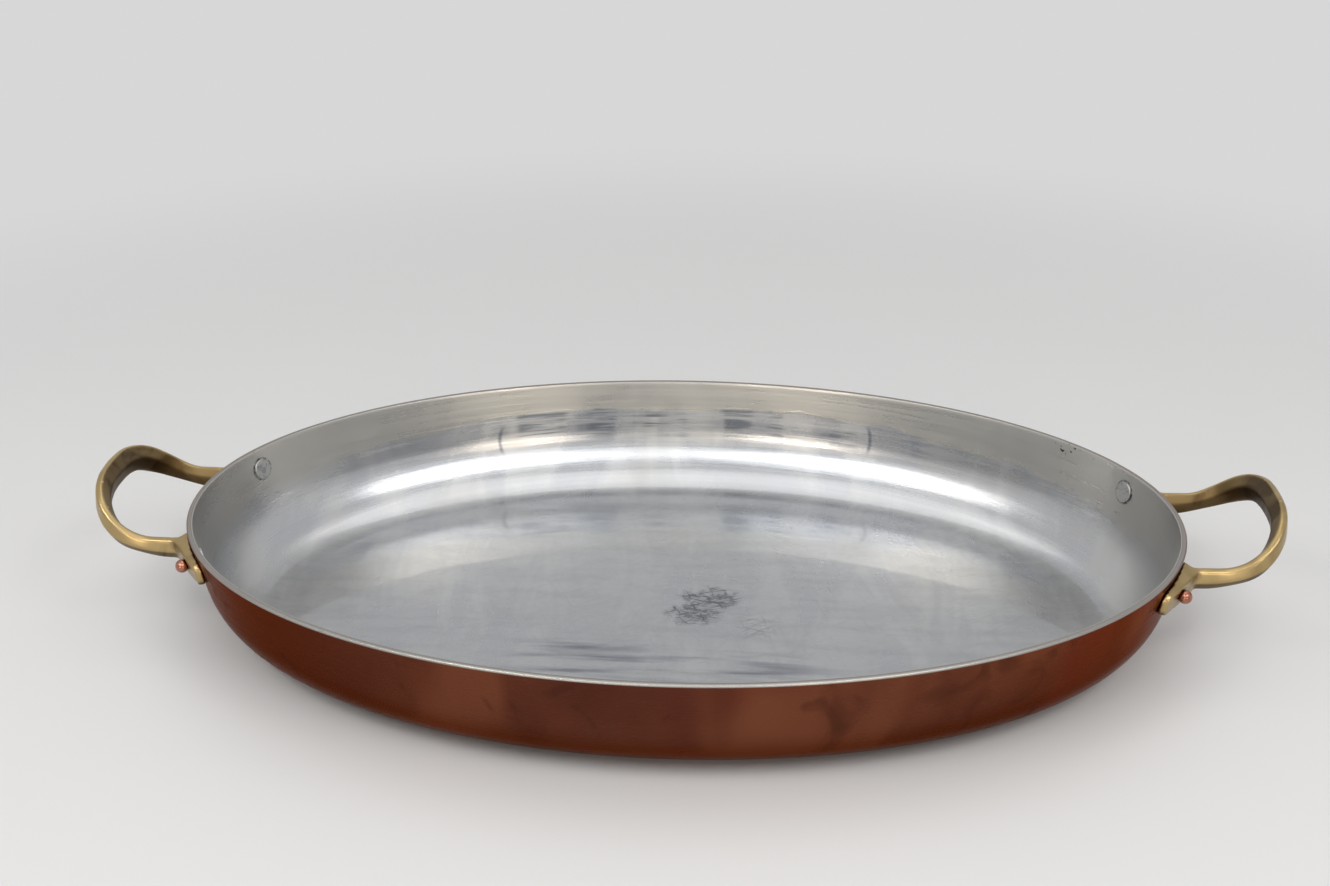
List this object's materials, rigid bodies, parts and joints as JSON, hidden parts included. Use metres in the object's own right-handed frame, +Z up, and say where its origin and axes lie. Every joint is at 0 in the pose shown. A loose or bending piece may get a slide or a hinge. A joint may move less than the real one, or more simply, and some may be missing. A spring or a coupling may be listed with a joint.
{
  "type": "gratin pan",
  "caption": "Shallow oval copper gratin dish with flared walls, a wiped tin lining and cast brass loop handles riveted to the ends.",
  "frame": {"origin": "middle of the flat base, on the surface that the dish stands on", "axes": "+X along the dish's long axis to the right handle, +Y across it to the rear, +Z up out of the dish"},
  "size_m": [0.4732, 0.2597, 0.0621],
  "materials": {
    "copper": "burnished copper, darkened by use",
    "tin": "hand-wiped tin, satin",
    "brass": "cast brass, satin",
    "rivet_copper": "copper, tinned on the inner head"
  },
  "bodies": {
    "root": {"pan_body": "copper", "tin_lining": "tin", "handle_left": "brass", "handle_right": "brass", "rivet_left_front": "rivet_copper", "rivet_left_rear": "rivet_copper", "rivet_right_front": "rivet_copper", "rivet_right_rear": "rivet_copper"}
  },
  "joints": []
}
